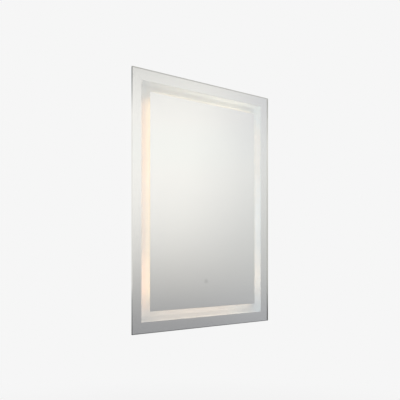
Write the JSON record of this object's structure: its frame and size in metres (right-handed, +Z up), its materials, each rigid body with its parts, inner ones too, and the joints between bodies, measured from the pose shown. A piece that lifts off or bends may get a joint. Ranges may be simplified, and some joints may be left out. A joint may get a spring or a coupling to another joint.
{
  "type": "lighted bathroom mirror",
  "caption": "Frameless upright wall mirror with a warm lit frosted band near its rim, a touch switch mark, and a shallow lamp case that hooks over a wall bracket.",
  "frame": {"origin": "midway between the two screw holes of the wall bracket, on the wall", "axes": "+X to the right of a person who faces the mirror, +Y into the wall, +Z up"},
  "size_m": [0.5, 0.05, 0.7],
  "materials": {
    "clear_glass": "clear float glass, polished edges",
    "silvering": "silvered, with a grey backing paint",
    "frosted_glass": "fine sand-blasted frost",
    "black_foam_tape": "matt foam",
    "white_aluminium": "satin white powder coat",
    "white_steel": "fine-textured white powder coat",
    "zinc_steel": "zinc plated",
    "zinc_screws": "zinc plated",
    "rivet_aluminium": "plain",
    "strip_board": "white solder mask",
    "lamp_chip": "phosphor under clear resin",
    "opal_cover": "opal diffuser",
    "driver_plastic": "fine spark texture",
    "heating_film": "film over a printed track",
    "circuit_board": "solder mask",
    "grey_plastic": "fine spark texture",
    "block_plastic": "plain",
    "brass_screws": "plain",
    "black_rubber": "matt",
    "lead_sheath": "soft sheath",
    "label_foil": "bare brushed foil"
  },
  "bodies": {
    "bracket": {"wall_bracket": "zinc_steel"},
    "mirror": {"back_plate": "white_steel", "back_plate_screws": "zinc_screws", "bare_label": "label_foil", "clamp_screws": "zinc_screws", "cord_clamp": "grey_plastic", "demister_lead": "lead_sheath", "demister_pad": "heating_film", "driver_screws": "zinc_screws", "frame_bottom": "white_aluminium", "frame_corner_keys": "zinc_steel", "frame_left": "white_aluminium", "frame_right": "white_aluminium", "frame_tape": "black_foam_tape", "frame_top": "white_aluminium", "frosted_band": "frosted_glass", "hanger_rail": "zinc_steel", "hanger_rivets": "rivet_aluminium", "lead_clips": "block_plastic", "led_chips": "lamp_chip", "led_cover_bottom": "opal_cover", "led_cover_left": "opal_cover", "led_cover_right": "opal_cover", "led_cover_top": "opal_cover", "led_driver": "driver_plastic", "led_rail_bottom": "white_aluminium", "led_rail_left": "white_aluminium", "led_rail_right": "white_aluminium", "led_rail_top": "white_aluminium", "led_strip_bottom": "strip_board", "led_strip_left": "strip_board", "led_strip_right": "strip_board", "led_strip_top": "strip_board", "lid_hinge_pin": "zinc_screws", "mirror_glass": "clear_glass", "rail_corner_keys": "zinc_steel", "rail_tape": "black_foam_tape", "sensor_lead": "lead_sheath", "silver_border": "silvering", "silver_centre": "silvering", "strip_lead": "lead_sheath", "supply_lead": "lead_sheath", "terminal_block": "block_plastic", "terminal_box": "grey_plastic", "terminal_screws": "brass_screws", "touch_sensor_board": "circuit_board", "touch_sensor_case": "driver_plastic", "wall_bumpers": "black_rubber"},
    "lid": {"terminal_lid": "grey_plastic", "lid_grommet": "black_rubber"}
  },
  "joints": [
    {"name": "mirror_lift", "type": "slide", "parent": "bracket", "child": "mirror", "axis": [0, 0, 1], "range_m": [0, 0.012]},
    {"name": "terminal_lid", "type": "hinge", "parent": "mirror", "child": "lid", "pos_m": [0.11, -0.0064, -0.1162], "axis": [1, 0, 0], "range_deg": [0, 110]}
  ]
}
